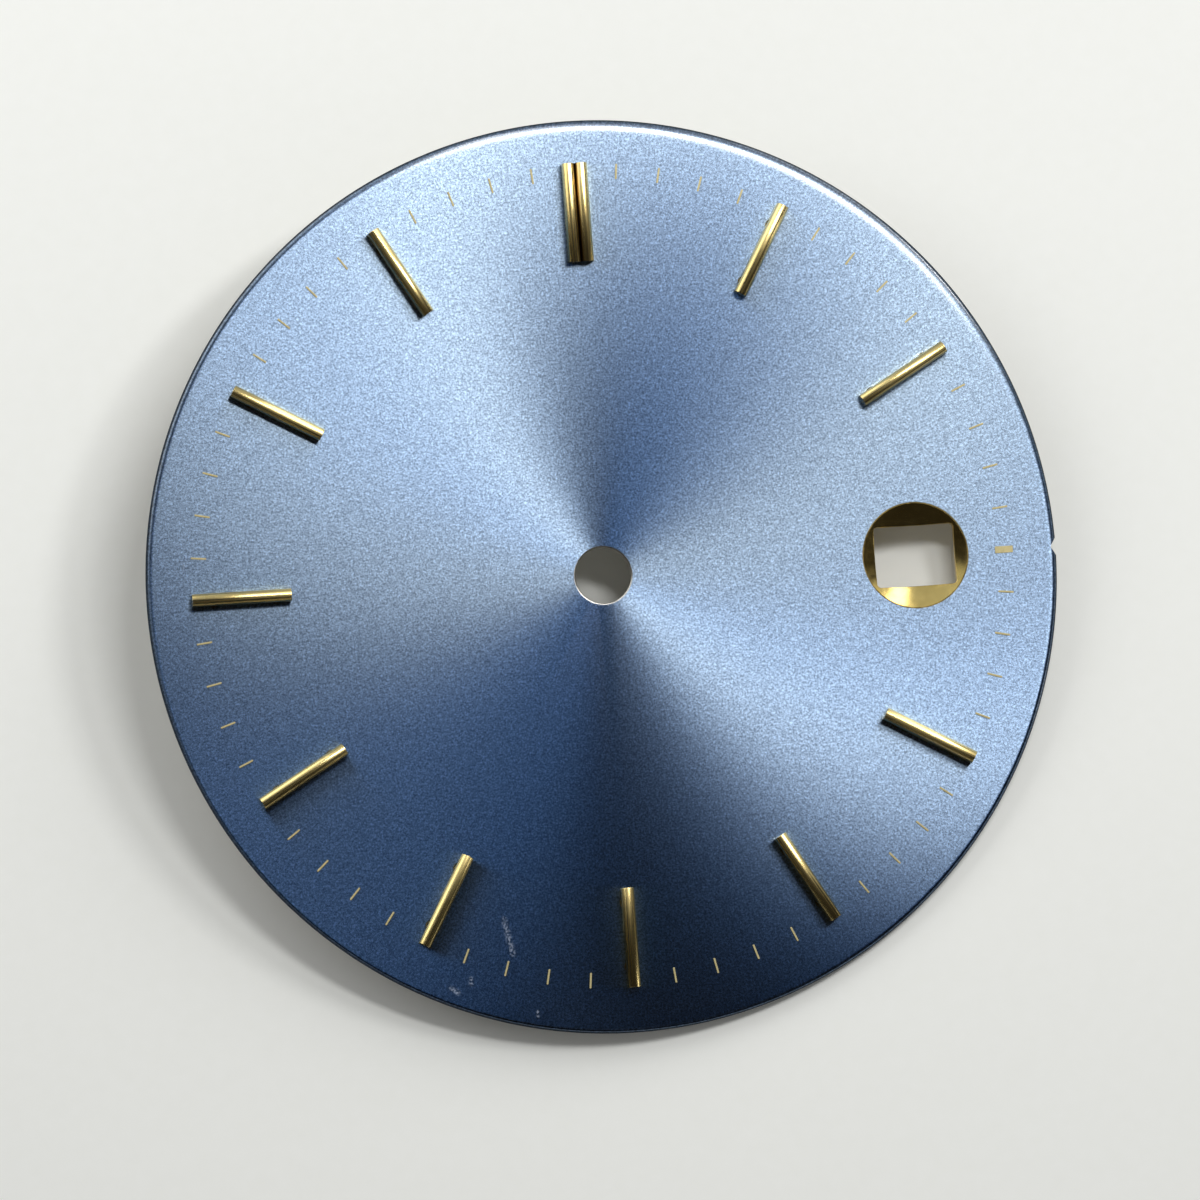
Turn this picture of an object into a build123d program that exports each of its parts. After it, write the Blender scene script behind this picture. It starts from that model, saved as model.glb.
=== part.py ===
from build123d import *
import math
import os

# A watch dial, face up. Lengths are millimetres and angles are degrees.
# +Z leaves the face, +Y points to 12 o'clock and +X to 3 o'clock.
# The origin is on the centre hole's axis, at the back face of the blank.

# The dial's face is divided as a clock's is.
full_turn = 360
hours_round = 12
minutes_round = 60
twelve_azimuth = 90
three_azimuth = 0

# Blank
dial_diameter = 29.5
plate_thickness = 0.40
edge_round_radius = 0.16
centre_hole_diameter = 1.80
hole_edge_break = 0.08

# Nick in the rim at 3 o'clock
nick_width = 0.60
nick_depth = 0.19
nick_root_radius = 0.10
nick_shoulder_radius = 0.16

# Lacquer and print on the face
lacquer_thickness = 0.03
lacquer_edge_height = 0.05
print_thickness = 0.02
track_rim_distance = 1.42
minute_stroke_length = 0.50
minute_stroke_width = 0.06
heavy_stroke_length = 0.58
heavy_stroke_width = 0.22

# Applied bars, one at each hour but 3 o'clock, and a double one at 12 o'clock
marker_length = 3.20
marker_width = 0.41
marker_side_height = 0.29

# The bars' feet, and their holes
marker_foot_diameter = 0.30
marker_foot_clearance = 0.02
inner_foot_inset = 0.45
outer_foot_inset = 0.70
front_sink_diameter = 0.54
rivet_head_diameter = 0.56
sink_angle = 90

# Date window insert at 3 o'clock
window_length = 2.60
window_width = 1.96
window_corner_radius = 0.13
window_rim_distance = 4.59
opening_margin = 0.10
insert_rim_land = 0.04
insert_sill_height = 0.10
insert_flange_width = 0.33
insert_flange_thickness = 0.12

# Dial feet on the back
dial_foot_azimuth = 36
dial_foot_rim_distance = 2.85
dial_foot_diameter = 0.75
dial_foot_length = 1.90
dial_foot_tip_break = 0.08
foot_collar_diameter = 1.20
foot_collar_thickness = 0.10

# How far each cut runs past the surface that it opens
overrun = 1.0

# Solids that stand on the point where they are placed
standing = (Align.CENTER, Align.CENTER, Align.MIN)

# Sizes that follow from those above
dial_radius = dial_diameter / 2
blank_radius = dial_radius - lacquer_thickness
edge_land_height = plate_thickness - edge_round_radius
face_height = plate_thickness + lacquer_thickness
track_radius = dial_radius - track_rim_distance
marker_outer_radius = track_radius
marker_inner_radius = marker_outer_radius - marker_length
marker_foot_radii = (
    marker_inner_radius + inner_foot_inset,
    marker_outer_radius - outer_foot_inset,
)
marker_hole_radius = marker_foot_diameter / 2 + marker_foot_clearance
window_radius = dial_radius - window_rim_distance
opening_radius = math.hypot(window_length, window_width) / 2 + opening_margin
flange_radius = opening_radius + insert_flange_width
dial_foot_circle_radius = dial_radius - dial_foot_rim_distance


def azimuth_of_hour(hour):
    """The direction of an hour on the face, counter-clockwise from 3 o'clock."""
    return twelve_azimuth - hour * full_turn / hours_round


def azimuth_of_minute(minute):
    """The direction of a minute on the face, counter-clockwise from 3 o'clock."""
    return twelve_azimuth - minute * full_turn / minutes_round


def on_face(radius, azimuth, height):
    """The point at this radius, direction and height over the back face."""
    angle = math.radians(azimuth)
    return Vector(radius * math.cos(angle), radius * math.sin(angle), height)


def facing_down(radius, azimuth):
    """A plane on the back face that looks away from the dial, for cuts from behind."""
    return Plane(origin=on_face(radius, azimuth, 0), z_dir=-Axis.Z.direction)


def across_bar(azimuth):
    """The plane of a bar's section at its inner end: X across the bar, Y up, Z to the rim."""
    outwards = on_face(1, azimuth, 0)
    return Plane(
        origin=on_face(marker_inner_radius, azimuth, face_height),
        x_dir=Axis.Z.direction.cross(outwards),
        z_dir=outwards,
    )


marker_hours = [hour for hour in range(1, hours_round + 1) if azimuth_of_hour(hour) != three_azimuth]
marker_feet = [(radius, azimuth_of_hour(hour)) for hour in marker_hours for radius in marker_foot_radii]
dial_foot_azimuths = (dial_foot_azimuth, dial_foot_azimuth + full_turn / 2)
dial_foot_planes = [facing_down(dial_foot_circle_radius, azimuth) for azimuth in dial_foot_azimuths]
window_centre = (window_radius, 0)

# The nick's outline: a V open to the rim, with a round root and round shoulders.
with BuildSketch() as nick_outline:
    with BuildLine():
        Polyline(
            (dial_radius + overrun, nick_width),
            (dial_radius, nick_width),
            (dial_radius, nick_width / 2),
            (dial_radius - nick_depth, 0),
            (dial_radius, -nick_width / 2),
            (dial_radius, -nick_width),
            (dial_radius + overrun, -nick_width),
            close=True,
        )
    make_face()
    fillet(nick_outline.vertices().sort_by(Axis.X)[0], radius=nick_root_radius)
    rim_corners = nick_outline.vertices().filter_by_position(Axis.X, dial_radius, dial_radius)
    fillet(rim_corners.sort_by(Axis.Y)[1:3], radius=nick_shoulder_radius)


def cut_front():
    """Cuts what passes through the lacquer and the blank alike."""
    with Locations((0, 0, face_height)):
        CounterSinkHole(
            radius=centre_hole_diameter / 2,
            counter_sink_radius=centre_hole_diameter / 2 + hole_edge_break,
            depth=face_height + overrun,
            counter_sink_angle=sink_angle,
        )
    with Locations([on_face(radius, azimuth, face_height) for radius, azimuth in marker_feet]):
        CounterSinkHole(
            radius=marker_hole_radius,
            counter_sink_radius=front_sink_diameter / 2,
            depth=face_height + overrun,
            counter_sink_angle=sink_angle,
        )
    with Locations(window_centre):
        Hole(radius=opening_radius)
    extrude(nick_outline.sketch, amount=face_height, mode=Mode.SUBTRACT)


# The blank: a disc with a rounded front edge, its holes, and its seats on the back.
with BuildPart() as dial_blank:
    with BuildSketch(Plane.YZ):
        with BuildLine():
            Line((0, plate_thickness), (0, 0))
            Line((0, 0), (blank_radius, 0))
            Line((blank_radius, 0), (blank_radius, edge_land_height))
            edge_round = CenterArc(
                (blank_radius - edge_round_radius, edge_land_height), edge_round_radius, 0, full_turn / 4
            )
            Line(edge_round @ 1, (0, plate_thickness))
        make_face()
    revolve(axis=Axis.Z)
    cut_front()
    with Locations([facing_down(radius, azimuth) for radius, azimuth in marker_feet]):
        CounterSinkHole(
            radius=marker_hole_radius,
            counter_sink_radius=rivet_head_diameter / 2,
            depth=plate_thickness,
            counter_sink_angle=sink_angle,
        )
    with Locations(facing_down(window_radius, 0)):
        Hole(radius=flange_radius, depth=insert_flange_thickness)
    with Locations(dial_foot_planes):
        Hole(radius=foot_collar_diameter / 2, depth=foot_collar_thickness)
dial_blank.part.label = "dial_blank"

# The lacquer: an even skin over the face, round the front edge and down the rim.
with BuildPart() as lacquer_coat:
    with BuildSketch(Plane.YZ):
        with BuildLine():
            round_centre = (blank_radius - edge_round_radius, edge_land_height)
            inner_round = CenterArc(round_centre, edge_round_radius, 0, full_turn / 4)
            outer_round = CenterArc(round_centre, edge_round_radius + lacquer_thickness, 0, full_turn / 4)
            Polyline(
                inner_round @ 0,
                (blank_radius, lacquer_edge_height),
                (dial_radius, lacquer_edge_height),
                outer_round @ 0,
            )
            Line(outer_round @ 1, (0, face_height))
            Line((0, face_height), (0, plate_thickness))
            Line((0, plate_thickness), inner_round @ 1)
        make_face()
    revolve(axis=Axis.Z)
    cut_front()
lacquer_coat.part.label = "lacquer_coat"

# The date insert: a flanged plug with a polished conical dish and a rectangular window.
dish_radius = opening_radius - insert_rim_land
dish_slope = (plate_thickness - insert_sill_height) / (dish_radius - window_width / 2)
with BuildPart() as date_window_insert:
    with BuildSketch():
        with Locations(window_centre):
            Circle(flange_radius)
    extrude(amount=insert_flange_thickness)
    with BuildSketch():
        with Locations(window_centre):
            Circle(opening_radius)
    extrude(amount=plate_thickness)
    with Locations((window_radius, 0, plate_thickness)):
        Cone(
            bottom_radius=0,
            top_radius=dish_radius,
            height=dish_radius * dish_slope,
            align=(Align.CENTER, Align.CENTER, Align.MAX),
            mode=Mode.SUBTRACT,
        )
    with BuildSketch():
        with Locations(window_centre):
            RectangleRounded(window_length, window_width, window_corner_radius)
    extrude(amount=plate_thickness, mode=Mode.SUBTRACT)
date_window_insert.part.label = "date_window_insert"


def hour_marker(hour):
    """An applied bar with round ridges side by side, on two feet riveted over at the back."""
    azimuth = azimuth_of_hour(hour)
    ridge_count = 2 if hour == hours_round else 1
    ridge_radius = marker_width / 2
    left_edge = -ridge_count * ridge_radius
    head_radius = rivet_head_diameter / 2
    foot_radius = marker_foot_diameter / 2
    with BuildPart() as bar:
        with BuildSketch(across_bar(azimuth)):
            with BuildLine():
                Polyline(
                    (left_edge, marker_side_height),
                    (left_edge, 0),
                    (-left_edge, 0),
                    (-left_edge, marker_side_height),
                )
                for ridge in range(ridge_count):
                    ridge_middle = left_edge + (2 * ridge + 1) * ridge_radius
                    CenterArc((ridge_middle, marker_side_height), ridge_radius, 0, full_turn / 2)
            make_face()
        extrude(amount=marker_length)
        with Locations([on_face(radius, azimuth, 0) for radius in marker_foot_radii]):
            Cylinder(foot_radius, face_height, align=standing)
            Cone(
                bottom_radius=head_radius,
                top_radius=foot_radius,
                height=(head_radius - foot_radius) / math.tan(math.radians(sink_angle / 2)),
                align=standing,
            )
    bar.part.label = f"hour_marker_{hour:02d}"
    return bar.part


# The printed minute strokes, left out where an hour's bar or heavy stroke stands.
with BuildPart() as minute_track_print:
    with BuildSketch(Plane.XY.offset(face_height)):
        for minute in range(minutes_round):
            if minute % (minutes_round // hours_round):
                stroke_middle = track_radius - minute_stroke_length / 2
                stroke_azimuth = azimuth_of_minute(minute)
                place = on_face(stroke_middle, stroke_azimuth, 0)
                with Locations(Location((place.X, place.Y), stroke_azimuth)):
                    Rectangle(minute_stroke_length, minute_stroke_width)
    extrude(amount=print_thickness)
minute_track_print.part.label = "minute_track_print"

# The heavy printed stroke outside the date window.
with BuildPart() as three_o_clock_print:
    with BuildSketch(Plane.XY.offset(face_height)):
        with Locations((track_radius - heavy_stroke_length / 2, 0)):
            Rectangle(heavy_stroke_length, heavy_stroke_width)
    extrude(amount=print_thickness)
three_o_clock_print.part.label = "three_o_clock_print"


def dial_foot(name, plane):
    """A post on the back, with a collar brazed flush into its seat."""
    with BuildPart(plane) as foot:
        with Locations((0, 0, -foot_collar_thickness)):
            Cylinder(foot_collar_diameter / 2, foot_collar_thickness, align=standing)
        Cylinder(dial_foot_diameter / 2, dial_foot_length, align=standing)
        tip = foot.faces().sort_by(Axis.Z)[0]
        chamfer(tip.edges(), length=dial_foot_tip_break)
    foot.part.label = name
    return foot.part


pieces = [
    dial_blank.part,
    lacquer_coat.part,
    date_window_insert.part,
    *[hour_marker(hour) for hour in marker_hours],
    minute_track_print.part,
    three_o_clock_print.part,
    dial_foot("dial_foot_a", dial_foot_planes[0]),
    dial_foot("dial_foot_b", dial_foot_planes[1]),
]

os.makedirs("parts", exist_ok=True)
for piece in pieces:
    export_step(piece, f"parts/{piece.label}.step")
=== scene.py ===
import math

import bmesh
import bpy
import numpy as np
from mathutils import Matrix, Vector
from mathutils.geometry import delaunay_2d_cdt


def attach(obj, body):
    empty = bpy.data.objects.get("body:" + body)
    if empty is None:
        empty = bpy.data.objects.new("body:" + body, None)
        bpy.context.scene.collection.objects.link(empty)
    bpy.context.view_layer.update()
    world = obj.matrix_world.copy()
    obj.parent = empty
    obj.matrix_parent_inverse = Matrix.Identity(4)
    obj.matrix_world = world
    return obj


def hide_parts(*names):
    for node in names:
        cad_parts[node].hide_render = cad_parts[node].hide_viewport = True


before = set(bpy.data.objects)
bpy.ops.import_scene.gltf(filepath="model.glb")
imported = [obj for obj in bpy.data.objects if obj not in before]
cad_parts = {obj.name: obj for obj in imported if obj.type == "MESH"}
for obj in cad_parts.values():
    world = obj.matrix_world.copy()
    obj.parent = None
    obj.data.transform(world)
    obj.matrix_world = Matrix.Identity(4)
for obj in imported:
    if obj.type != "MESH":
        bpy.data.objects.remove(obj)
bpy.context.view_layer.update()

# A watch dial, face up. Lengths are millimetres and angles are degrees, unless a line says otherwise.
# +Z leaves the face, +Y points to 12 o'clock and +X to 3 o'clock, as in the CAD.
MM = 0.001

# ---- Sizes of the dial's pieces, as in the CAD

DIAL_RADIUS = 14.75
PLATE = 0.40
LACQUER = 0.03
FACE = PLATE + LACQUER
LACQUER_EDGE = 0.05
CENTRE_HOLE_RADIUS = 0.90
HOLE_EDGE_BREAK = 0.08
NICK_WIDTH = 0.60
NICK_DEPTH = 0.19
NICK_ROOT = 0.10
NICK_SHOULDER = 0.16
TRACK_RADIUS = 13.33
MINUTE_STROKE = (0.50, 0.06)
HEAVY_STROKE = (0.58, 0.22)
PRINT = 0.02
MARKER_LENGTH = 3.20
MARKER_WIDTH = 0.41
MARKER_SIDE = 0.29
MARKER_FOOT_RADII = (10.58, 12.63)
MARKER_FOOT = 0.15
MARKER_HOLE = 0.17
FRONT_SINK = 0.27
RIVET_HEAD = 0.28
WINDOW_RADIUS = 10.16
WINDOW = (2.60, 1.96)
WINDOW_CORNER = 0.13
WINDOW_MARGIN = 0.10
OPENING = math.hypot(*WINDOW) / 2 + WINDOW_MARGIN
INSERT_LAND = 0.04
INSERT_SILL = 0.10
FLANGE_WIDTH = 0.33
FLANGE = OPENING + FLANGE_WIDTH
FLANGE_THICKNESS = 0.12
FOOT_CIRCLE = 11.90
FOOT_AZIMUTH = 36
FOOT_RADIUS = 0.375
FOOT_LENGTH = 1.90
FOOT_TIP_BREAK = 0.08
COLLAR = 0.60
COLLAR_THICKNESS = 0.10

# ---- Details too small for the CAD

# Edges that the tools leave
BAR_EDGE = 0.012
DISH_EDGE = 0.015
PRINT_EDGE = 0.006
PRINT_CORNER = 0.015

# The lacquer thins between these two radii, by this much, and covers a rounder edge than the CAD's.
# A narrow level ring inside each bend keeps the face's shading level
THINNING = (14.23, 14.64)
THINNING_DROP = 0.0326
COVERED_ROUND = 0.20
SUPPORT = 0.02

# The brushed metal's slope under the lacquer, which is shading only: what the crown's two terms come to
# at the rim, where the edge starts to turn down, and how much further in that is towards one direction
CROWN = (0.0114, 0.0259)
TURN_START = 14.47
TURN_UNEVEN = 0.12
TURN_WIDEST = 72

# Wear: where each mark starts and ends on the face, its half width and how much it covers
SCUFFS = [
    ((-4.02, -10.86), (-3.81, -11.97), 0.14, 0.55),
    ((-5.22, -12.68), (-5.23, -12.87), 0.09, 0.8),
    ((-5.85, -12.96), (-5.67, -13.10), 0.12, 0.8),
    ((-3.14, -13.88), (-3.15, -14.04), 0.07, 0.6),
    ((6.12, -6.21), (6.75, -7.74), 0.04, 0.25),
    ((-13.51, 1.17), (-13.52, 1.10), 0.06, 0.9),
]

# ---- How many points go round each kind of shape

POST_SIDES = 96
CENTRE_SIDES = 160
OPENING_SIDES = 200
FOOT_SIDES = 40
DISH_SIDES = 560
NEAR_NICK = 1.5
NEAR_NICK_POINTS = 73
RIM_POINTS = 429

MARKER_HOURS = [hour for hour in range(1, 13) if hour != 3]


def azimuth_of_hour(hour):
    """The direction of an hour on the face, in radians counter-clockwise from 3 o'clock."""
    return math.radians(90 - 30 * hour)


def on_face(radius, azimuth):
    """The point of the face at this distance and direction in radians, as x and y."""
    return (radius * math.cos(azimuth), radius * math.sin(azimuth))


MARKER_FEET = [
    on_face(radius, azimuth_of_hour(hour)) for hour in MARKER_HOURS for radius in MARKER_FOOT_RADII
]
DIAL_FEET = [on_face(FOOT_CIRCLE, math.radians(FOOT_AZIMUTH + turn)) for turn in (0, 180)]


# ---- Shapes: each function gives points in millimetres and faces that number them

def polar(radius, azimuth, height):
    """Points at these distances from the centre, directions in radians, and heights."""
    return np.stack(np.broadcast_arrays(radius * np.cos(azimuth), radius * np.sin(azimuth), height), -1)


def grid_faces(rows, columns, round_rows=False):
    """Four-cornered faces over a grid that closes round its columns, and round its rows if asked."""
    row, column = np.meshgrid(np.arange(rows - (not round_rows)), np.arange(columns), indexing="ij")
    here, below = row * columns, (row + 1) % rows * columns
    beside = (column + 1) % columns
    corners = (here + column, here + beside, below + beside, below + column)
    return np.stack(corners, -1).reshape(-1, 4).tolist()


def revolved(profile, centre, count):
    """Carries a profile, rows of radius and height, round the upright line through centre."""
    turn = np.linspace(0, 2 * np.pi, count, endpoint=False)
    radius, height = np.array(profile, float).T[:, :, None]
    points = polar(radius, turn, height) + (*centre, 0)
    return points.reshape(-1, 3), grid_faces(len(profile), count)


def arc(centre, radius, start, end, count):
    """Rows of radius and height on a circular arc, from one angle to another."""
    angle = np.radians(np.linspace(start, end, count))
    return np.stack([centre[0] + radius * np.cos(angle), centre[1] + radius * np.sin(angle)], -1).tolist()


def nick_limit(azimuth):
    """How far out the nick lets the rim reach. It is a V, whose root is a small arc and whose
    shoulders are larger arcs that meet the rim's tangent."""
    along, across = np.cos(azimuth), np.abs(DIAL_RADIUS * np.sin(azimuth))
    slope = NICK_DEPTH / (NICK_WIDTH / 2)
    lean = math.atan(slope)
    root_end = NICK_ROOT * math.sin(lean)
    root_middle = NICK_ROOT / math.cos(lean) - NICK_DEPTH
    shoulder_run = NICK_SHOULDER * math.tan(lean / 2)
    shoulder_end = NICK_WIDTH / 2 + shoulder_run
    shoulder_start = NICK_WIDTH / 2 - shoulder_run * math.cos(lean)
    root = root_middle - np.sqrt(np.maximum(NICK_ROOT**2 - across**2, 0))
    flank = across * slope - NICK_DEPTH
    shoulder = np.sqrt(np.maximum(NICK_SHOULDER**2 - (shoulder_end - across) ** 2, 0)) - NICK_SHOULDER
    stretches = [across < root_end, across < shoulder_start, across < shoulder_end]
    depth = np.select(stretches, [root, flank, shoulder], 1)
    return np.where(along > 0, (DIAL_RADIUS + depth) / np.maximum(along, 0.5), 2 * DIAL_RADIUS)


def rim_rows(profile):
    """Carries a profile round the dial, and holds each point inside the nick's limit.
    The directions lie closer together near the nick."""
    fine = np.linspace(-NEAR_NICK, NEAR_NICK, NEAR_NICK_POINTS)
    coarse = np.linspace(NEAR_NICK, 360 - NEAR_NICK, RIM_POINTS)[1:-1]
    turn = np.radians(np.concatenate([fine, coarse]))
    radius, height = np.array(profile, float).T[:, :, None]
    return polar(np.minimum(radius, nick_limit(turn)), turn, height)


def level_face(outline, holes):
    """The level surface inside an outline and outside round holes, in triangles between their points."""
    loops = [outline, *[points for _, _, points in holes]]
    starts = np.cumsum([0, *[len(loop) for loop in loops]])
    edges = [
        (start + np.stack([np.arange(len(loop)), (np.arange(len(loop)) + 1) % len(loop)], -1)).tolist()
        for start, loop in zip(starts, loops)
    ]
    found = delaunay_2d_cdt(list(map(Vector, np.concatenate(loops)[:, :2])), sum(edges, []), [], 1, 1e-7)
    points, triangles = np.array(found[0]), np.array(found[2])
    middle = points[triangles].mean(1)
    kept = np.all([np.hypot(*(middle - centre).T) > radius * 0.999 for centre, radius, _ in holes], axis=0)
    return np.column_stack([points, np.full(len(points), outline[0, 2])]), triangles[kept].tolist()


def pierced_plate(rows, holes, seats=()):
    """A plate from its rim's rows, the first round its upper level face and the last round its lower one,
    and from its holes, each a centre and a profile from the upper face to the lower one. A seat is a
    hole that starts inside the plate, on a level floor of its own."""
    shells = [(rows.reshape(-1, 3), grid_faces(*rows.shape[:2]))]
    upper, lower = [], []
    for centre, profile, around in holes:
        points, faces = revolved(profile, centre, around)
        shells.append((points, faces))
        upper.append((centre, profile[0][0], points[:around]))
        lower.append((centre, profile[-1][0], points[-around:]))
    for centre, profile, around in seats:
        points, faces = revolved(profile, centre, around)
        shells.append((points, faces + [list(range(around))]))
        lower.append((centre, profile[-1][0], points[-around:]))
    return [*shells, level_face(rows[0], upper), level_face(rows[-1], lower)]


def covered_round(start, end):
    """The plate's round edge under the lacquer, a circular arc from one angle to another."""
    middle = (DIAL_RADIUS - LACQUER - COVERED_ROUND, PLATE - COVERED_ROUND)
    return arc(middle, COVERED_ROUND, start, end, 16)


def lacquer_skin():
    """The lacquer: a skin over the face, round the front edge and down the rim, with the holes that pass
    through it. Towards the rim its height falls with the square of the way, and from there a circular
    arc, which starts at the same slope, ends upright at the rim. The round under it is drawn a little
    larger than the plate's own, so that the thinned lacquer still covers it."""
    start, end = THINNING
    share = np.linspace(0, 1, 15)
    thin = np.stack([start + (end - start) * share, FACE - THINNING_DROP * share**2], -1).tolist()
    slope = math.atan(2 * THINNING_DROP / (end - start))
    bend = (DIAL_RADIUS - end) / (1 - math.sin(slope))
    middle = (DIAL_RADIUS - bend, FACE - THINNING_DROP - bend * math.cos(slope))
    outer = arc(middle, bend, 90 - math.degrees(slope), 0, 18)[1:]
    inner = covered_round(0, 90)
    lower = [[DIAL_RADIUS, LACQUER_EDGE], [DIAL_RADIUS - LACQUER, LACQUER_EDGE]]
    profile = [[start - SUPPORT, FACE], *thin, *outer, *lower, *inner, [start - SUPPORT, PLATE]]
    centre_edge = arc((CENTRE_HOLE_RADIUS + HOLE_EDGE_BREAK, PLATE), LACQUER, 90, 180, 6)
    foot_edge = [[FRONT_SINK, FACE], [FRONT_SINK - LACQUER, PLATE]]
    holes = [
        ((0, 0), centre_edge, CENTRE_SIDES),
        ((WINDOW_RADIUS, 0), [[OPENING, FACE], [OPENING, PLATE]], OPENING_SIDES),
        *[(foot, foot_edge, FOOT_SIDES) for foot in MARKER_FEET],
    ]
    return pierced_plate(rim_rows(profile), holes)


def blank_plate():
    """The stamped plate: a rounded front edge, the holes, and the seats on the back, of which the two
    for the dial feet's collars are blind."""
    outer = covered_round(90, 0)
    profile = [[outer[0][0] - SUPPORT, PLATE], *outer, [DIAL_RADIUS - LACQUER, 0]]
    edge = CENTRE_HOLE_RADIUS + HOLE_EDGE_BREAK - LACQUER
    edge_round = edge - CENTRE_HOLE_RADIUS
    centre = [*arc((edge, PLATE - edge_round), edge_round, 90, 180, 12), [CENTRE_HOLE_RADIUS, 0]]
    opening = [[OPENING, PLATE], [OPENING, FLANGE_THICKNESS], [FLANGE, FLANGE_THICKNESS], [FLANGE, 0]]
    sink_end = PLATE - (FRONT_SINK - LACQUER - MARKER_HOLE)
    foot_hole = [
        [FRONT_SINK - LACQUER, PLATE], [MARKER_HOLE, sink_end],
        [MARKER_HOLE, RIVET_HEAD - MARKER_HOLE], [RIVET_HEAD, 0],
    ]
    holes = [
        ((0, 0), centre, CENTRE_SIDES),
        ((WINDOW_RADIUS, 0), opening, OPENING_SIDES),
        *[(foot, foot_hole, FOOT_SIDES) for foot in MARKER_FEET],
    ]
    seats = [(foot, [[COLLAR, COLLAR_THICKNESS], [COLLAR, 0]], POST_SIDES) for foot in DIAL_FEET]
    return pierced_plate(rim_rows(profile), holes, seats)


def bar_section(ridges, inset):
    """A bar's section, across and up from the face: upright sides under round ridges,
    drawn in by an inset that shrinks each ridge's arc."""
    radius = MARKER_WIDTH / 2
    side = ridges * radius - inset
    angle = np.linspace(0, np.pi, 25)
    middles = radius * (ridges - 1 - 2 * np.arange(ridges))
    across = middles[:, None] + (radius - inset) * np.cos(angle)
    up = MARKER_SIDE + (radius - inset) * np.sin(angle) + np.zeros((ridges, 1))
    arcs = np.stack([across.ravel(), up.ravel()], -1)
    return np.concatenate([[[-side, 0], [side, 0]], arcs])


def applied_bar(hour):
    """A bar: its section carried from its inner end to its outer end, drawn in at both ends by a tiny
    arc, on two feet that are cones at the back."""
    azimuth = azimuth_of_hour(hour)
    ridges = 2 if hour == 12 else 1
    angle = np.linspace(np.pi / 2, 0, 4)
    run = BAR_EDGE * (1 - np.sin(angle))
    inset = BAR_EDGE * (1 - np.cos(angle))
    stations = np.concatenate([run, MARKER_LENGTH - run[::-1]])
    sections = np.stack([bar_section(ridges, value) for value in (*inset, *inset[::-1])])
    count = sections.shape[1]
    outwards = np.array([math.cos(azimuth), math.sin(azimuth), 0])
    sideways = np.array([-math.sin(azimuth), math.cos(azimuth), 0])
    points = (
        (TRACK_RADIUS - MARKER_LENGTH + stations)[:, None, None] * outwards
        + sections[..., :1] * sideways
        + (FACE + sections[..., 1:]) * np.array([0, 0, 1])
    )
    ends = [list(range(count)), list(range(len(stations) * count - count, len(stations) * count))]
    shells = [(points.reshape(-1, 3), grid_faces(len(stations), count) + ends)]
    foot = [
        [0, 0], [RIVET_HEAD, 0], [MARKER_FOOT, RIVET_HEAD - MARKER_FOOT],
        [MARKER_FOOT, FACE + BAR_EDGE], [0, FACE + BAR_EDGE],
    ]
    return shells + [revolved(foot, on_face(radius, azimuth), FOOT_SIDES) for radius in MARKER_FOOT_RADII]


def window_outline(turn, grow=0.0):
    """Distance from the window's middle to its rounded rectangle in each direction: to a straight side,
    or to the circle in the corner."""
    half = np.array(WINDOW) / 2 + grow
    corner = WINDOW_CORNER + grow
    along, across = np.abs(np.cos(turn)), np.abs(np.sin(turn))
    straight = np.minimum(half[0] / np.maximum(along, 1e-9), half[1] / np.maximum(across, 1e-9))
    middle = half - corner
    reach = along * middle[0] + across * middle[1]
    rounded = reach + np.sqrt(np.maximum(reach**2 - middle @ middle + corner**2, 0))
    in_corner = (straight * along > middle[0]) & (straight * across > middle[1])
    return np.where(in_corner, rounded, straight)


def date_insert():
    """The date insert: a cone between the round land and the window, whose height follows the distance
    from the middle, and below it the window's walls, the plug's wall and the flange."""
    dish = OPENING - INSERT_LAND
    slope = (PLATE - INSERT_SILL) / (dish - WINDOW[1] / 2)
    turn = np.linspace(0, 2 * np.pi, DISH_SIDES, endpoint=False)
    window, edge = window_outline(turn), window_outline(turn, DISH_EDGE)
    share = np.linspace(0, 1, 9)[:, None]
    cone_radius = edge + (dish - edge) * share
    cone_height = PLATE - (dish - cone_radius) * slope
    lip = cone_height[0]
    level = np.ones_like(turn)
    radius = np.vstack([
        window, window, (window + edge) / 2, cone_radius,
        level * OPENING, level * OPENING, level * FLANGE, level * FLANGE,
    ])
    height = np.vstack([
        0 * level, lip - DISH_EDGE, lip - DISH_EDGE * 0.3, cone_height,
        PLATE * level, FLANGE_THICKNESS * level, FLANGE_THICKNESS * level, 0 * level,
    ])
    points = polar(radius, turn, height) + (WINDOW_RADIUS, 0, 0)
    return [(points.reshape(-1, 3), grid_faces(*radius.shape, round_rows=True))]


def printed_strokes(size, azimuths):
    """Flat strokes of ink whose outer ends lie on the track: a rectangle with cut corners,
    drawn in a little at its top, and turned to each direction in radians."""
    length, width = size
    quarter = np.array([[length / 2, width / 2 - PRINT_CORNER], [length / 2 - PRINT_CORNER, width / 2]])
    half = np.concatenate([quarter, quarter[::-1] * (-1, 1)])
    outline = np.concatenate([half, -half])
    count = len(outline)
    rows = np.stack([
        np.column_stack([outline, np.full(count, FACE)]),
        np.column_stack([outline, np.full(count, FACE + PRINT - PRINT_EDGE)]),
        np.column_stack([outline - np.sign(outline) * PRINT_EDGE, np.full(count, FACE + PRINT)]),
    ])
    rows[..., 0] += TRACK_RADIUS - length / 2
    faces = grid_faces(len(rows), count) + [list(range(count)), list(range(2 * count, 3 * count))]
    turns = [np.array(Matrix.Rotation(azimuth, 3, "Z")) for azimuth in azimuths]
    return [(rows.reshape(-1, 3) @ turn.T, faces) for turn in turns]


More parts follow.
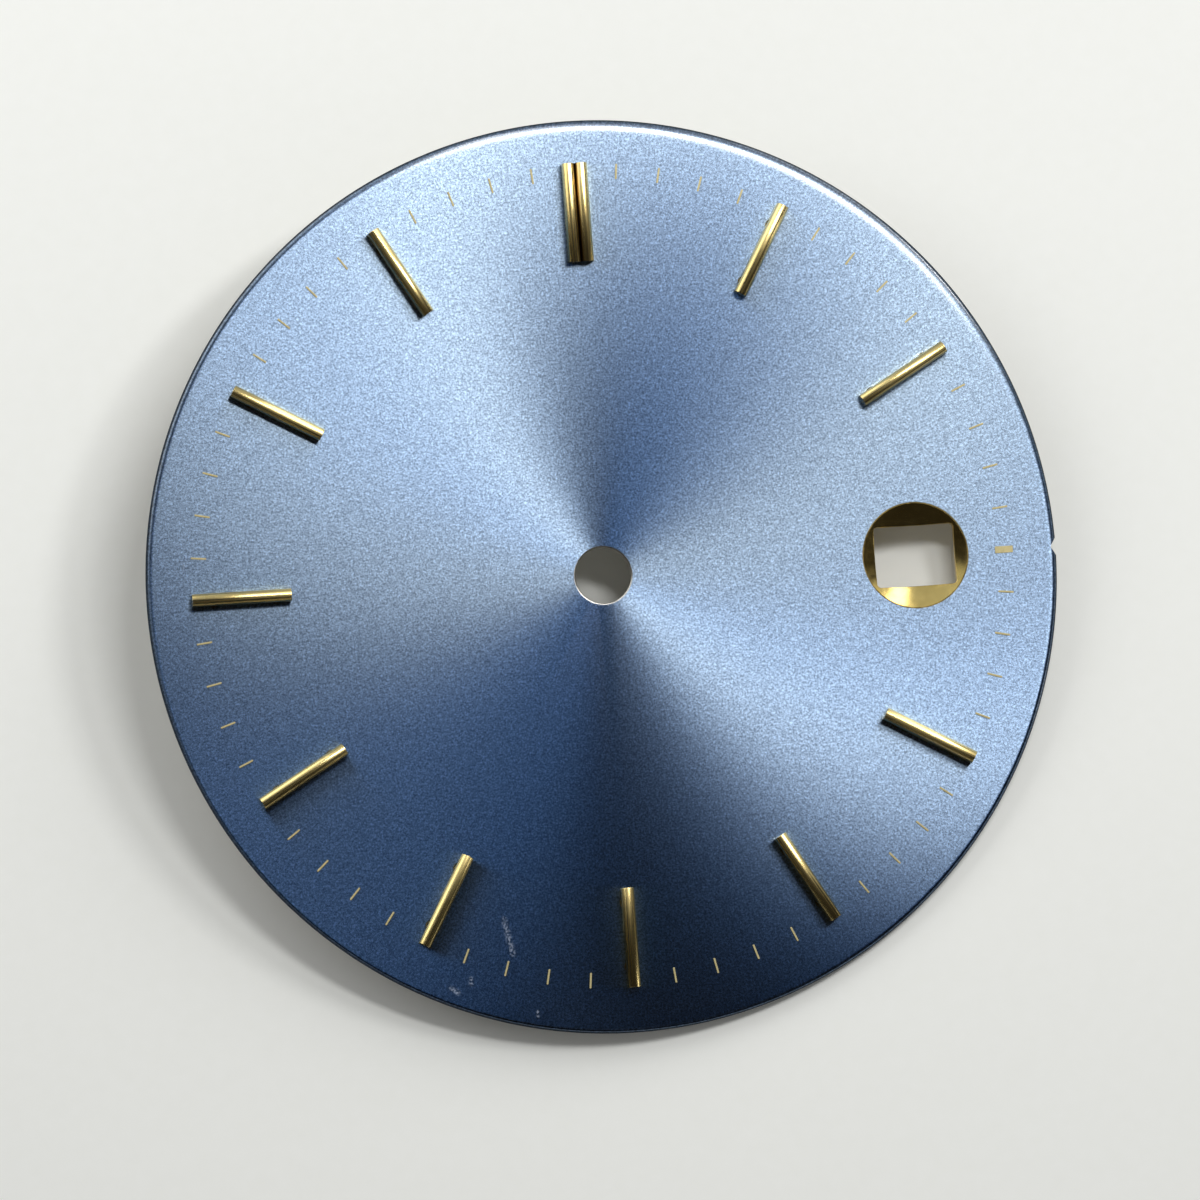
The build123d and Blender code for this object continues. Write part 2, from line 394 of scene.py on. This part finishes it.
def dial_foot(centre):
    """A post with a collar in the back of the plate: a profile carried round its own middle line."""
    tip = FOOT_RADIUS - FOOT_TIP_BREAK
    profile = [
        [0, COLLAR_THICKNESS], [COLLAR, COLLAR_THICKNESS], [COLLAR, 0], [FOOT_RADIUS, 0],
        [FOOT_RADIUS, FOOT_TIP_BREAK - FOOT_LENGTH], [tip, -FOOT_LENGTH], [0, -FOOT_LENGTH],
    ]
    return [revolved(profile, centre, POST_SIDES)]


# ---- Nodes

def colour(code):
    """A colour written as sRGB hex, as the linear numbers that a shader takes."""
    parts = [int(code[place:place + 2], 16) / 255 for place in (1, 3, 5)]
    return (*[part / 12.92 if part <= 0.04045 else ((part + 0.055) / 1.055) ** 2.4 for part in parts], 1)


def add(tree, kind, sockets=None, **settings):
    """Adds a node, sets it, and gives each named socket a value or a link to another node's output."""
    made = tree.nodes.new(kind)
    for name, value in settings.items():
        setattr(made, name, value)
    for socket, value in (sockets or {}).items():
        if isinstance(value, bpy.types.NodeSocket):
            tree.links.new(value, made.inputs[socket])
        else:
            made.inputs[socket].default_value = value
    return made


def calc(tree, operation, *terms, clamp=False):
    """The result of arithmetic with numbers, held between 0 and 1 if asked."""
    node = add(tree, "ShaderNodeMath", dict(enumerate(terms)), operation=operation, use_clamp=clamp)
    return node.outputs[0]


def vector(tree, operation, *terms):
    """The result of arithmetic with vectors, which is a number for a length and a dot product."""
    node = add(tree, "ShaderNodeVectorMath", dict(enumerate(terms)), operation=operation)
    return node.outputs["Value" if operation in ("LENGTH", "DOT_PRODUCT") else "Vector"]


def combined(tree, **parts):
    """A vector from its parts X, Y and Z."""
    return add(tree, "ShaderNodeCombineXYZ", parts).outputs[0]


def remap(tree, value, start, end, low=0.0, high=1.0, **settings):
    """A number carried from one range to another, and held inside it."""
    sockets = {"Value": value, "From Min": start, "From Max": end, "To Min": low, "To Max": high}
    return add(tree, "ShaderNodeMapRange", sockets, **settings).outputs[0]


def noise(tree, place, size, detail, roughness=0.5):
    """Noise whose largest patches have this size."""
    sockets = {"Vector": place, "Scale": 1 / (size * MM), "Detail": detail, "Roughness": roughness}
    return add(tree, "ShaderNodeTexNoise", sockets).outputs["Fac"]


def mix_numbers(tree, share, first, second):
    """A number between two others."""
    return add(tree, "ShaderNodeMix", {0: share, 2: first, 3: second}).outputs[0]


def mix_colours(tree, share, first, second):
    """A colour between two others."""
    return add(tree, "ShaderNodeMix", {0: share, 6: first, 7: second}, data_type="RGBA").outputs[2]


def mix_shaders(tree, share, first, second):
    """A surface or background between two others."""
    return add(tree, "ShaderNodeMixShader", {0: share, 1: first, 2: second}).outputs[0]


def bumped(tree, height, strength, relief, **normal):
    """A normal that follows a height, of this relief, on the piece's own normal or on the one given."""
    sockets = {"Height": height, "Strength": strength, "Distance": relief * MM, **normal}
    return add(tree, "ShaderNodeBump", sockets).outputs[0]


def new_material(name):
    """A material with an empty node tree, its output's socket, and the place on the piece."""
    made = bpy.data.materials.new(name)
    made.use_nodes = True
    tree = made.node_tree
    tree.nodes.clear()
    surface = add(tree, "ShaderNodeOutputMaterial").inputs["Surface"]
    return made, tree, surface, add(tree, "ShaderNodeTexCoord").outputs["Object"]


def from_centre(tree, place):
    """A place without its height, its distance from the dial's middle line, and its direction from it."""
    flat = vector(tree, "MULTIPLY", place, (1, 1, 0))
    return flat, vector(tree, "LENGTH", flat), vector(tree, "NORMALIZE", flat)


def scratches(tree, place, width, length, radius):
    """Noise that changes once in a scratch's width round the dial, at this radius, and outwards once in
    its length."""
    _, distance, outwards = from_centre(tree, place)
    around = vector(tree, "MULTIPLY", outwards, (radius / width,) * 3)
    along = calc(tree, "MULTIPLY", distance, 1 / (length * MM))
    spot = vector(tree, "ADD", around, combined(tree, Z=along))
    sockets = {"Vector": spot, "Scale": 1.0, "Detail": 1.0, "Roughness": 0.5}
    return add(tree, "ShaderNodeTexNoise", sockets).outputs["Fac"]


def scuff(tree, flat, start, end, half_width, cover):
    """How much a mark covers: all of its share on the line between two points, none at its half width."""
    start, end = Vector((*start, 0)) * MM, Vector((*end, 0)) * MM
    way = (end - start).normalized()
    apart = vector(tree, "SUBTRACT", flat, (start + end) / 2)
    along = calc(tree, "ABSOLUTE", vector(tree, "DOT_PRODUCT", apart, way))
    past_end = calc(tree, "SUBTRACT", along, (end - start).length / 2, clamp=True)
    across = vector(tree, "DOT_PRODUCT", apart, (-way.y, way.x, 0))
    gap = vector(tree, "LENGTH", combined(tree, X=past_end, Y=across))
    return remap(tree, gap, 0.0, half_width * MM, cover, 0.0)


# ---- Materials

# The brushing's scratches, width and length, and its grain. Real brushing has lines of some 0.01 mm.
# The photograph shows it coarser, and so it is drawn coarser here
SCRATCH = (0.035, 0.3)
GRAIN = 0.07
GRAIN_SHARE = 0.86
BRUSHING_STRENGTH = 0.4
BRUSHING_RELIEF = 0.002

# Painted shade and painted highlight on the metal's edge, by how far it has turned down: the colour darkens
# towards the upright rim as painted shade, with painted light rings where the turn starts and about halfway
# down. A ramp's colours end at 1, so they are halves
PAINTED_EDGE_SHADES = [
    (0.00, 0.50), (0.03, 0.60), (0.09, 0.60), (0.16, 0.30), (0.30, 0.20),
    (0.45, 0.20), (0.55, 0.35), (0.70, 0.20), (1.00, 0.06),
]

# The gloss's share on the face and at the upright rim. Its index, mixed in by half, is as strong as 1.5
GLOSS_SHARE = (0.5, 0.06)
GLOSS_INDEX = 1.79
GLOSS_ROUGHNESS = 0.14


def sunray_lacquer():
    """Brass brushed from the centre outwards, silver-plated, under clear blue lacquer. The brushing
    spreads light sideways, so wedges of light and dark turn with the lamps: its depths shine through
    much lacquer and are blue, its crests through little and are pale. The gloss follows the lacquer's
    own shape, which turns down towards the rim, so a white band runs inside the rim."""
    made, tree, surface, place = new_material("blue_lacquer_over_sunray_brushing")
    flat, distance, outwards = from_centre(tree, place)

    # The metal's own slope under the lacquer. The polishing has crowned the face, so its slope grows with
    # the distance and with its fourth power. The edge adds a slope that grows with the cube of the way
    # from where it starts to turn to the upright rim
    widest = math.radians(TURN_WIDEST)
    further_in = Vector((math.cos(widest), math.sin(widest), 0)) * -TURN_UNEVEN * MM
    turn_start = calc(tree, "ADD", vector(tree, "DOT_PRODUCT", outwards, further_in), TURN_START * MM)
    turned = remap(tree, distance, turn_start, (DIAL_RADIUS - LACQUER) * MM)
    turned = calc(tree, "POWER", turned, 3.0)
    reach = calc(tree, "MULTIPLY", distance, 1 / (DIAL_RADIUS * MM))
    crown = calc(tree, "MULTIPLY", calc(tree, "POWER", reach, 4.0), CROWN[1])
    crown = calc(tree, "MULTIPLY_ADD", reach, CROWN[0], crown)
    lean = calc(tree, "ADD", turned, crown, clamp=True)
    aside = add(tree, "ShaderNodeVectorMath", {0: outwards, "Scale": lean}, operation="SCALE").outputs[0]
    upright = calc(tree, "SUBTRACT", 1.0001, calc(tree, "MULTIPLY", lean, lean))
    upright = calc(tree, "SQRT", upright)
    metal_normal = vector(tree, "ADD", aside, combined(tree, Z=upright))

    # Short scratches, as one pattern for the inner part and one for the outer part, and between them
    # the sparkle of the silvering's crystals, which lie in patches
    inner, outer = [scratches(tree, place, *SCRATCH, radius) for radius in (4, 11)]
    scratch = mix_numbers(tree, remap(tree, distance, 4 * MM, 8 * MM), inner, outer)
    height = mix_numbers(tree, GRAIN_SHARE, scratch, noise(tree, place, GRAIN, 2.0, 1.0))
    sparkle = calc(tree, "POWER", remap(tree, height, 0.33, 0.67), 1.5)
    sparkle = calc(tree, "MULTIPLY_ADD", sparkle, 1.35, 0.48)
    # Painted shade and painted highlight on the edge: this ramp scales the brushing's colour by how far the
    # edge has turned
    edge = add(tree, "ShaderNodeValToRGB", {"Fac": turned})
    ramp = edge.color_ramp.elements
    for spot, _ in PAINTED_EDGE_SHADES[1:-1]:
        ramp.new(spot)
    for element, (_, shade) in zip(ramp, PAINTED_EDGE_SHADES):
        element.color = (shade, shade, shade, 1)
    # The grain's sparkle times the painted edge shade and highlight, which colours both brushing lobes
    light = calc(tree, "MULTIPLY", sparkle, calc(tree, "MULTIPLY", edge.outputs[0], 2.0))
    brushed_normal = bumped(tree, height, BRUSHING_STRENGTH, BRUSHING_RELIEF, Normal=metal_normal)

    def lobe(tint, across, along):
        """The light that one kind of brushing sends back, with its slopes' spread across and along it."""
        sockets = {
            "Color": vector(tree, "MULTIPLY", light, tint),
            "Tangent": outwards,
            "Normal": brushed_normal,
            "Roughness": (across * along) ** 0.25,
            "Anisotropy": 1 - math.sqrt(along / across),
        }
        return add(tree, "ShaderNodeBsdfAnisotropic", sockets, distribution="BECKMANN").outputs[0]

    depths = lobe((0.0, 0.27, 1.0), across=0.69, along=0.12)
    crests = lobe((0.68, 0.80, 0.82), across=0.34, along=0.078)
    brushing = mix_shaders(tree, 0.60, depths, crests)
    gloss = add(
        tree, "ShaderNodeBsdfPrincipled",
        {"Base Color": (0, 0, 0, 1), "Roughness": GLOSS_ROUGHNESS, "IOR": GLOSS_INDEX},
    ).outputs[0]
    coated = mix_shaders(tree, remap(tree, turned, 0.7, 1.0, *GLOSS_SHARE), brushing, gloss)

    # Pale scuffs and a speck of dust, broken up into patches
    cover = 0.0
    for mark in SCUFFS:
        cover = calc(tree, "MAXIMUM", cover, scuff(tree, flat, *mark))
    broken = remap(tree, noise(tree, place, 0.07, 2.0), 0.45, 0.6)
    cover = calc(tree, "MULTIPLY", cover, broken)
    pale = add(tree, "ShaderNodeBsdfPrincipled", {"Base Color": colour("#A9B4C6"), "Roughness": 0.7})
    tree.links.new(mix_shaders(tree, cover, coated, pale.outputs[0]), surface)
    return made


def clouded(tree, place, tint, shadow_tint):
    """A metal's colour, which wanders between two tones in clouds of 0.8 mm."""
    return mix_colours(tree, noise(tree, place, 0.8, 3.0), colour(shadow_tint), colour(tint))


def uneven(tree, grain, roughness):
    """A roughness that wanders with the grain, from four fifths of its value to 1.3 times."""
    return remap(tree, grain, 0.3, 0.7, roughness * 0.8, roughness * 1.3)


def plated_metal(name, tint, shadow_tint, roughness, grain_size, relief):
    """A plated metal: a mirror or satin surface whose colour wanders a little, with a faint relief."""
    made, tree, surface, place = new_material(name)
    grain = noise(tree, place, grain_size, 4.0, 0.6)
    shader = add(tree, "ShaderNodeBsdfPrincipled", {
        "Base Color": clouded(tree, place, tint, shadow_tint),
        "Metallic": 1.0,
        "Roughness": uneven(tree, grain, roughness),
        "Normal": bumped(tree, grain, 0.3, relief),
    })
    tree.links.new(shader.outputs[0], surface)
    return made


def drawn_gilt(name, valley=0.0):
    """A drawn bar's gold plate: a gloss spread across the bar's length, which points away from the dial's
    centre, and fine lines along it. At 12 o'clock the valley between the two ridges is painted dark brown
    as shade, for this width each side of its middle."""
    made, tree, surface, place = new_material(name)
    tone = clouded(tree, place, "#EAD596", "#E2C67E")
    # Painted shade: the valley between the 12 o'clock bar's two ridges is coloured dark brown
    if valley:
        aside = vector(tree, "LENGTH", vector(tree, "MULTIPLY", place, (1, 0, 0)))
        unshaded_share = remap(tree, aside, 0.02 * MM, valley * MM)
        tone = mix_colours(tree, unshaded_share, colour("#6B4A16"), tone)
    shader = add(tree, "ShaderNodeBsdfPrincipled", {
        "Base Color": tone,
        "Metallic": 1.0,
        "Roughness": uneven(tree, scratches(tree, place, 0.04, 4, 12), 0.24),
        "Anisotropic": 0.8,
        "Tangent": vector(tree, "CROSS_PRODUCT", place, (0, 0, 1)),
    })
    tree.links.new(shader.outputs[0], surface)
    return made


def gold_ink():
    """Pad-printed gold ink: fine metal flakes in varnish, duller than gilt, with a broken-up tone."""
    made, tree, surface, place = new_material("pad_printed_gold_ink")
    flakes = noise(tree, place, 0.07, 3.0)
    tone = mix_colours(tree, flakes, colour("#A4976C"), colour("#D5C790"))
    shader = add(tree, "ShaderNodeBsdfPrincipled", {"Base Color": tone, "Metallic": 0.35, "Roughness": 0.45})
    tree.links.new(shader.outputs[0], surface)
    return made


def pale_board():
    """Smooth pale grey board, with faint fibres. Its underside lets the camera through, because the low
    views look from below its level."""
    made, tree, surface, place = new_material("pale_board")
    fibre = noise(tree, place, 0.5, 3.0)
    tone = mix_colours(tree, fibre, colour("#F2F3EE"), colour("#F5F6F2"))
    board = add(tree, "ShaderNodeBsdfDiffuse", {"Color": tone}).outputs[0]
    below = add(tree, "ShaderNodeNewGeometry").outputs["Backfacing"]
    seen = add(tree, "ShaderNodeLightPath").outputs["Is Camera Ray"]
    clear = add(tree, "ShaderNodeBsdfTransparent").outputs[0]
    tree.links.new(mix_shaders(tree, calc(tree, "MULTIPLY", below, seen), board, clear), surface)
    return made


# ---- Building the pieces

def make_piece(name, shells, material, node=None, crease=30):
    """Joins shells into one mesh in metres, closes their seams, turns their faces outwards, and keeps
    edges sharper than a limit crisp. The piece stands for its CAD node."""
    starts = np.cumsum([0, *[len(points) for points, _ in shells]])
    faces = [
        [start + corner for corner in face] for start, (_, shell) in zip(starts, shells) for face in shell
    ]
    mesh = bpy.data.meshes.new(name)
    mesh.from_pydata(np.concatenate([points for points, _ in shells]) * MM, [], faces)
    work = bmesh.new()
    work.from_mesh(mesh)
    bmesh.ops.remove_doubles(work, verts=work.verts, dist=1e-5 * MM)
    bmesh.ops.recalc_face_normals(work, faces=work.faces)
    work.to_mesh(mesh)
    work.free()
    mesh.shade_smooth()
    mesh.set_sharp_from_angle(angle=math.radians(crease))
    mesh.materials.append(material)
    piece = bpy.data.objects.new(name, mesh)
    bpy.context.scene.collection.objects.link(piece)
    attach(piece, "root")
    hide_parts(node or name)
    return piece


lacquer = sunray_lacquer()
# Pale satin silver on the blank, seen as a thin light ring in the centre hole and on the back
silvered = plated_metal("satin_silver_plate", "#C9C6BE", "#B8B4AA", 0.30, 0.05, 0.004)
# Polished gold plate on the bars, whose highlight runs along the whole ridge
gilt = drawn_gilt("polished_gilt")
# The 12 o'clock bar: the same gilt, with painted shade in the valley between its ridges
double_gilt = drawn_gilt("polished_gilt_with_painted_valley_shade", 0.12)
# Deeper gold on the date dish, turned smooth, bright only where it faces a lamp
dish_gilt = plated_metal("turned_gilt", "#F4DA90", "#D8B860", 0.18, 0.25, 0.002)
# Dull reddish wire for the feet
copper = plated_metal("drawn_copper", "#C98962", "#B87650", 0.28, 0.08, 0.004)
ink = gold_ink()

make_piece("lacquer_skin", lacquer_skin(), lacquer, "lacquer_coat")
make_piece("stamped_plate", blank_plate(), silvered, "dial_blank")
make_piece("date_dish", date_insert(), dish_gilt, "date_window_insert", 15)
for hour in MARKER_HOURS:
    metal = double_gilt if hour == 12 else gilt
    make_piece(f"bar_{hour:02d}", applied_bar(hour), metal, f"hour_marker_{hour:02d}")
minutes = [math.radians(90 - 6 * minute) for minute in range(60) if minute % 5]
make_piece("minute_strokes", printed_strokes(MINUTE_STROKE, minutes), ink, "minute_track_print")
make_piece("heavy_stroke", printed_strokes(HEAVY_STROKE, [0.0]), ink, "three_o_clock_print")
for centre, letter in zip(DIAL_FEET, "ab"):
    make_piece(f"foot_post_{letter}", dial_foot(centre), copper, f"dial_foot_{letter}")


# ---- The board that the dial lies on: its rim touches at one point, and its two feet at their tips' edges

FLOOR_HALF = 900 * MM
down_azimuth = math.radians(FOOT_AZIMUTH - 90)
down = Vector((math.cos(down_azimuth), math.sin(down_azimuth), 0))
rim_touch = DIAL_RADIUS - LACQUER
drop = FOOT_LENGTH / (rim_touch - (FOOT_RADIUS - FOOT_TIP_BREAK))
floor_normal = (Vector((0, 0, 1)) - drop * down).normalized()
floor_side = floor_normal.cross(down).normalized()
floor_down = floor_side.cross(floor_normal)
touch = down * rim_touch * MM
corners = [
    touch + floor_down * a * FLOOR_HALF + floor_side * b * FLOOR_HALF
    for a, b in ((-1, -1), (1, -1), (1, 1), (-1, 1))
]
board = bpy.data.meshes.new("board")
board.from_pydata(corners, [], [(0, 1, 2, 3)])
if board.polygons[0].normal.dot(floor_normal) < 0:
    board.flip_normals()
board.materials.append(pale_board())
board_object = bpy.data.objects.new("board", board)
bpy.context.scene.collection.objects.link(board_object)


# ---- Camera, lamps and room

def towards(azimuth, lean):
    """The unit direction that leans this far from the face's own upright line, towards an azimuth."""
    a, e = math.radians(azimuth), math.radians(lean)
    return Vector((math.sin(e) * math.cos(a), math.sin(e) * math.sin(a), math.cos(e)))


CAMERA_AZIMUTH = 213.25
CAMERA_LEAN = 7.90
CAMERA_DISTANCE = 500
CAMERA_LENS = 465.7
CAMERA_SENSOR = 36
PICTURE_UP = 85.79
PICTURE_MIDDLE = (-0.061, -0.763)

back = towards(CAMERA_AZIMUTH, CAMERA_LEAN)
right = towards(PICTURE_UP, 90).cross(back).normalized()
up = back.cross(right)
camera = bpy.data.objects.new("camera", bpy.data.cameras.new("camera"))
camera.data.lens = CAMERA_LENS
camera.data.sensor_width = CAMERA_SENSOR
camera.data.clip_start = 50 * MM
camera.data.clip_end = 5000 * MM
spot = (back * CAMERA_DISTANCE + right * PICTURE_MIDDLE[0] + up * PICTURE_MIDDLE[1]) * MM
camera.matrix_world = Matrix.Translation(spot) @ Matrix((right, up, back)).transposed().to_4x4()
bpy.context.scene.collection.objects.link(camera)
bpy.context.scene.camera = camera


def soft_lamp(name, azimuth, lean, distance, size, radiance):
    """A soft rectangular lamp that faces the dial's middle. Its power gives each patch the radiance."""
    data = bpy.data.lights.new(name, "AREA")
    data.shape = "RECTANGLE"
    data.size, data.size_y = size[0] * MM, size[1] * MM
    data.energy = radiance * math.pi * data.size * data.size_y
    lamp = bpy.data.objects.new(name, data)
    way = towards(azimuth, lean)
    lamp.location = way * distance * MM
    lamp.rotation_mode = "QUATERNION"
    lamp.rotation_quaternion = way.to_track_quat("Z", "Y")
    lamp.visible_camera = False
    bpy.context.scene.collection.objects.link(lamp)


soft_lamp("key", azimuth=37.2, lean=39.5, distance=158, size=(18, 33), radiance=28)
soft_lamp("upper", azimuth=62.5, lean=23.5, distance=140.6, size=(60, 15), radiance=20.8)
soft_lamp("side", azimuth=138.3, lean=66, distance=102, size=(98, 66), radiance=2.0)
soft_lamp("fill", azimuth=-12.2, lean=69.9, distance=298, size=(24, 86), radiance=3.2)
soft_lamp("window", azimuth=55.1, lean=61.1, distance=279, size=(76, 171), radiance=3.4)

# The room: metals see a pale, faintly blue wall on one side and dark on the other, the board gets an even
# grey light, and the camera sees a pale background
WALL_SIDE = (-0.09, 0.99, 0.07)
WALL_EDGE = (0.33, 0.45)
world = bpy.data.worlds.new("room")
bpy.context.scene.world = world
world.use_nodes = True
world.cycles.sampling_method = "NONE"
room = world.node_tree
room.nodes.clear()


def glow(code, strength):
    """A background of this colour and strength."""
    return add(room, "ShaderNodeBackground", {"Color": colour(code), "Strength": strength}).outputs[0]


way = add(room, "ShaderNodeTexCoord").outputs["Generated"]
facing = vector(room, "DOT_PRODUCT", way, WALL_SIDE)
wall = remap(room, facing, *WALL_EDGE, interpolation_type="SMOOTHSTEP")
path = add(room, "ShaderNodeLightPath").outputs
mirrored = mix_shaders(room, wall, glow("#FFF6EC", 0.019), glow("#EDF5FF", 0.52))
lighting = mix_shaders(room, path["Is Glossy Ray"], glow("#FFFFFF", 0.22), mirrored)
around = mix_shaders(room, path["Is Camera Ray"], lighting, glow("#F2F2F0", 0.95))
add(room, "ShaderNodeOutputWorld", {"Surface": around})

bpy.context.scene.view_settings.view_transform = "Standard"
